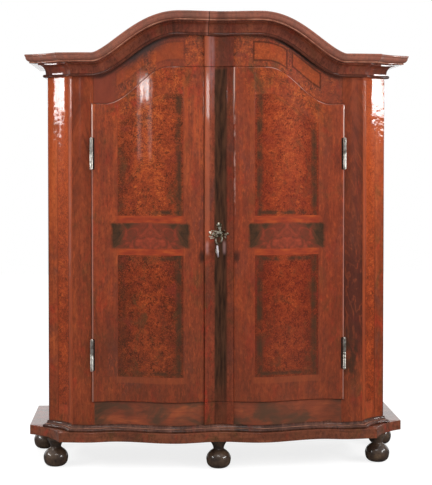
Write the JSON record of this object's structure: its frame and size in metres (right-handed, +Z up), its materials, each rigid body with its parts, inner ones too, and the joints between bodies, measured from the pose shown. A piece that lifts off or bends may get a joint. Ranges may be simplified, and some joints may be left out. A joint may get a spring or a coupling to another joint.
{
  "type": "kas cupboard",
  "caption": "Baroque cupboard with an arched cornice, serpentine front, hollow corners, hinged doors and ball feet.",
  "frame": {"origin": "centre of the footprint at floor level, under the middle of the overall box", "axes": "+Z up, -Y out of the front, +X to the right as seen from the front"},
  "size_m": [1.87, 0.7459, 2.2],
  "materials": {
    "walnut_veneer": "french-polished walnut veneer, high gloss",
    "burl_walnut": "french-polished burl veneer with banding, high gloss",
    "dark_walnut": "dark polished walnut, high gloss",
    "walnut_moulding": "polished red-brown walnut",
    "ebonised_wood": "ebonised and polished",
    "pine": "bare aged pine",
    "steel": "old bright steel",
    "pewter_brass": "cast, dull gilt worn to grey"
  },
  "bodies": {
    "carcase": {"back_boards": "pine", "base_moulding": "walnut_moulding", "bolt_keeper": "steel", "bottom_rail": "walnut_veneer", "corner_post_left": "walnut_veneer", "corner_post_right": "walnut_veneer", "cornice_corner_left": "walnut_moulding", "cornice_corner_right": "walnut_moulding", "cornice_front": "walnut_moulding", "cornice_side_left": "walnut_moulding", "cornice_side_right": "walnut_moulding", "fixed_strips": "dark_walnut", "floor_bearers": "pine", "floor_board": "pine", "foot_back_left": "ebonised_wood", "foot_back_right": "ebonised_wood", "foot_front_centre": "ebonised_wood", "foot_front_left": "ebonised_wood", "foot_front_right": "ebonised_wood", "frieze": "walnut_veneer", "front_stile_left": "walnut_veneer", "front_stile_right": "walnut_veneer", "hinge_frame_halves": "steel", "plinth_back": "walnut_moulding", "plinth_corner_left": "walnut_moulding", "plinth_corner_right": "walnut_moulding", "plinth_front": "walnut_moulding", "plinth_side_left": "walnut_moulding", "plinth_side_right": "walnut_moulding", "roof_boards": "pine", "shelf_battens": "pine", "shelves": "pine", "side_panel_left": "walnut_veneer", "side_panel_right": "walnut_veneer"},
    "left_door": {"left_door_bottom_rail": "walnut_veneer", "left_door_hinge_halves": "steel", "left_door_hinge_stile": "walnut_veneer", "left_door_lock_stile": "walnut_veneer", "left_door_lower_panel": "burl_walnut", "left_door_middle_rail": "walnut_veneer", "left_door_top_rail": "walnut_veneer", "left_door_upper_panel": "burl_walnut", "bolt_guides": "steel", "lock_keeper": "steel"},
    "right_door": {"right_door_bottom_rail": "walnut_veneer", "right_door_hinge_halves": "steel", "right_door_hinge_stile": "walnut_veneer", "right_door_lock_stile": "walnut_veneer", "right_door_lower_panel": "burl_walnut", "right_door_middle_rail": "walnut_veneer", "right_door_top_rail": "walnut_veneer", "right_door_upper_panel": "burl_walnut", "centre_strip": "dark_walnut", "lock_case": "steel", "escutcheon": "pewter_brass"},
    "lock_bolt": {"lock_bolt": "steel"},
    "key": {"key": "steel"},
    "top_bolt": {"top_bolt": "steel"},
    "bottom_bolt": {"bottom_bolt": "steel"}
  },
  "joints": [
    {"name": "left_door_hinge", "type": "hinge", "parent": "carcase", "child": "left_door", "pos_m": [-0.613, -0.23908, 0.327], "axis": [0, 0, -1], "range_deg": [0, 105]},
    {"name": "right_door_hinge", "type": "hinge", "parent": "carcase", "child": "right_door", "pos_m": [0.613, -0.23908, 0.327], "axis": [0, 0, 1], "range_deg": [0, 105]},
    {"name": "key_turn", "type": "hinge", "parent": "right_door", "child": "key", "pos_m": [-0.008, -0.2187, 1.059], "axis": [0, 1, 0], "range_deg": [0, 90]},
    {"name": "lock_bolt_throw", "type": "slide", "parent": "right_door", "child": "lock_bolt", "axis": [-1, 0, 0], "range_m": [0, 0.018]},
    {"name": "top_bolt_slide", "type": "slide", "parent": "left_door", "child": "top_bolt", "axis": [0, 0, 1], "range_m": [0, 0.04]},
    {"name": "bottom_bolt_slide", "type": "slide", "parent": "left_door", "child": "bottom_bolt", "axis": [0, 0, -1], "range_m": [0, 0.04]}
  ],
  "couplings": [
    {"joint": "lock_bolt_throw", "follows": "key_turn", "m_per_rad": 0.011459}
  ]
}
